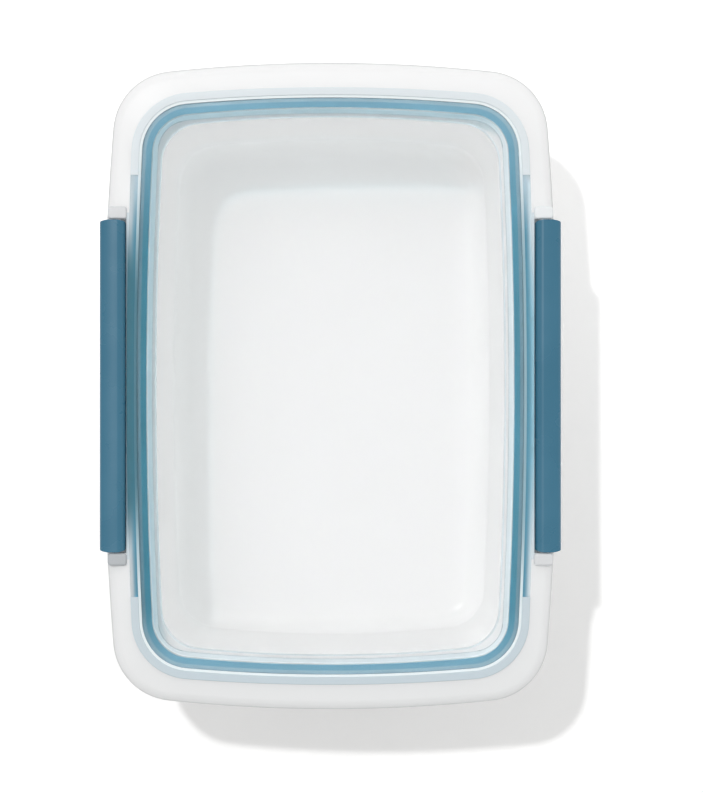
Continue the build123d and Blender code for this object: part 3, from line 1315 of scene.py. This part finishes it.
def soften(mesh: BMesh, edges: list[BMEdge], radius: float, segments: int) -> None:
    """Rounds edges.

    Args:
        mesh: Mesh that holds the edges.
        edges: Edges that are rounded.
        radius: Width of the rounding.
        segments: Faces across the rounding.
    """
    bmesh.ops.bevel(
        mesh,
        geom=edges,
        offset=radius,
        offset_type="OFFSET",
        segments=segments,
        profile=0.5,
        affect="EDGES",
        material=-1,
    )


def add_box(
    mesh: BMesh,
    centre: Point,
    size: Point,
    corner: float = 0.0,
    top: float = 0.0,
) -> None:
    """Adds a box, with rounded upright corners and a rounded top if they are given.

    Args:
        mesh: Mesh that gets the box.
        centre: Middle of the box.
        size: Its size along each axis.
        corner: Rounding of the upright edges.
        top: Rounding of the upper edges.
    """
    matrix = Matrix.LocRotScale(Vector(centre), None, Vector(size))
    points = bmesh.ops.create_cube(mesh, size=1.0, matrix=matrix)["verts"]
    if corner:
        edges = {edge for point in points for edge in point.link_edges}
        soften(mesh, [edge for edge in edges if upright(edge)], corner, ROUND_STEPS)
    if top:
        lowest, highest = Vector(centre) - Vector(size) / 2, Vector(centre) + Vector(size) / 2
        upper = [
            edge
            for edge in mesh.edges
            if all(
                abs(vertex.co.z - highest.z) < NEAR
                and lowest.x - NEAR < vertex.co.x < highest.x + NEAR
                and lowest.y - NEAR < vertex.co.y < highest.y + NEAR
                for vertex in edge.verts
            )
        ]
        soften(mesh, upper, top, ROUND_STEPS)


def upright(edge: BMEdge) -> bool:
    """Says whether an edge stands upright."""
    span = edge.verts[0].co - edge.verts[1].co
    return abs(span.z) > span.xy.length


def add_rod(mesh: BMesh, centre: Point, radius: float, length: float) -> None:
    """Adds a round rod along Y.

    Args:
        mesh: Mesh that gets the rod.
        centre: Middle of the rod.
        radius: Its radius.
        length: Its length.
    """
    matrix = Matrix.Translation(centre) @ Matrix.Rotation(math.pi / 2, 4, "X")
    bmesh.ops.create_cone(
        mesh,
        cap_ends=True,
        segments=ROD_SIDES,
        radius1=radius,
        radius2=radius,
        depth=length,
        matrix=matrix,
    )


def combine(item: Object, operation: str, tool: BMesh, skin: Skin) -> None:
    """Cuts a tool out of an object or adds it.

    Args:
        item: Object that changes.
        operation: DIFFERENCE or UNION.
        tool: Closed shapes, which are freed.
        skin: Finish of the faces that the tool brings.
    """
    for face in tool.faces:
        face.material_index = skin
    bmesh.ops.recalc_face_normals(tool, faces=tool.faces)
    data = bpy.data.meshes.new("tool")
    tool.to_mesh(data)
    tool.free()
    for material in item.data.materials:
        data.materials.append(material)
    helper = bpy.data.objects.new("tool", data)
    bpy.context.scene.collection.objects.link(helper)
    cut = item.modifiers.new("cut", "BOOLEAN")
    cut.operation = operation
    cut.solver = "EXACT"
    cut.use_self = operation == "UNION"
    cut.material_mode = "INDEX"
    cut.object = helper
    depsgraph = bpy.context.evaluated_depsgraph_get()
    result = bpy.data.meshes.new_from_object(item.evaluated_get(depsgraph))
    item.modifiers.remove(cut)
    old = item.data
    item.data = result
    bpy.data.meshes.remove(old)
    bpy.data.objects.remove(helper)
    item.data.set_sharp_from_angle(angle=SHARP_ANGLE)


def even_normals(item: Object) -> None:
    """Keeps the flat faces flat beside rounded edges.

    Args:
        item: Object with rounded edges.
    """
    modifier = item.modifiers.new("even_normals", "WEIGHTED_NORMAL")
    modifier.keep_sharp = True
    modifier.weight = FLAT_WEIGHT


def finished(name: str, mesh: BMesh, *materials: Material) -> Object:
    """Turns a modelled mesh into a dressed object.

    Args:
        name: Name of the object.
        mesh: Modelled mesh, which is freed.
        *materials: Its finishes, in the order of the faces' numbers.

    Returns:
        The new object, linked to the scene.
    """
    data = bpy.data.meshes.new(name)
    mesh.to_mesh(data)
    mesh.free()
    for material in materials:
        data.materials.append(material)
    for polygon in data.polygons:
        polygon.use_smooth = True
    data.set_sharp_from_angle(angle=SHARP_ANGLE)
    item = bpy.data.objects.new(name, data)
    bpy.context.scene.collection.objects.link(item)
    return item


def main() -> None:
    """Builds and dresses each piece, then the studio round the keeper."""
    logging.basicConfig(level=logging.INFO, format="%(message)s")
    satin = SatinPlastic().build()
    for maker in (Tub(), Lid(), Seal(), Latch(Side.LEFT, satin), Latch(Side.RIGHT, satin)):
        piece = maker.build()
        log.info("%s: %d faces", piece.name, len(piece.data.polygons))
    Studio().build()


if __name__ == "__main__":
    main()
